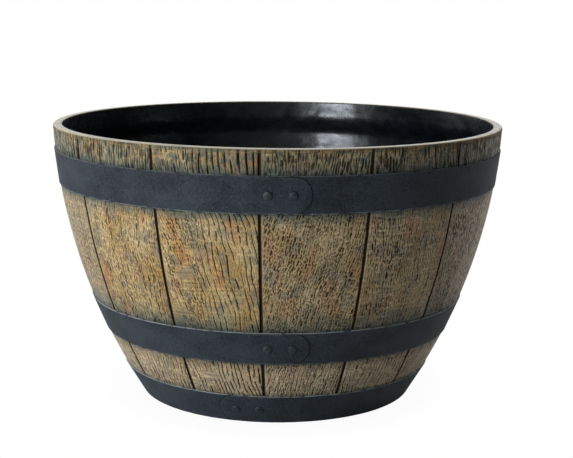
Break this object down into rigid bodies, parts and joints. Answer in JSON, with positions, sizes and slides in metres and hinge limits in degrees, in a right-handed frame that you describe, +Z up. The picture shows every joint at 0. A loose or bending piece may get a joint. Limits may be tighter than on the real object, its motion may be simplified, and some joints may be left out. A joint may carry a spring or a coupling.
{
  "type": "barrel bowl planter",
  "caption": "Wide low planter like the lower half of a barrel: wood-effect stave wall, dark hoops with riveted laps, smooth lip, black inner bowl and pull-out drain plugs.",
  "frame": {"origin": "on the ground at the centre of the base", "axes": "+Z up through the middle of the bowl, towards the mouth; the hoops' laps and rivets face -Y"},
  "size_m": [0.5256, 0.526, 0.32],
  "materials": {
    "wood_effect": "brown wood-effect paint over dark moulded grain",
    "lip": "smooth, satin, pale overspray",
    "hoop": "charcoal, finely pitted like cast iron",
    "rivet": "charcoal, satin",
    "black_resin": "black, half gloss, slightly uneven",
    "plug": "black, matt"
  },
  "bodies": {
    "planter": {"stave_jacket": "wood_effect", "inner_bowl": "black_resin", "rim_ring": "lip", "top_hoop": "hoop", "middle_hoop": "hoop", "base_hoop": "hoop", "top_hoop_rivets": "rivet", "middle_hoop_rivets": "rivet", "base_hoop_rivets": "rivet"},
    "plug_1": {"drain_plug_1": "plug"},
    "plug_2": {"drain_plug_2": "plug"},
    "plug_3": {"drain_plug_3": "plug"}
  },
  "joints": [
    {"name": "plug_1_lift", "type": "slide", "parent": "planter", "child": "plug_1", "axis": [0, 0, 1], "range_m": [0, 0.05]},
    {"name": "plug_2_lift", "type": "slide", "parent": "planter", "child": "plug_2", "axis": [0, 0, 1], "range_m": [0, 0.05]},
    {"name": "plug_3_lift", "type": "slide", "parent": "planter", "child": "plug_3", "axis": [0, 0, 1], "range_m": [0, 0.05]}
  ]
}
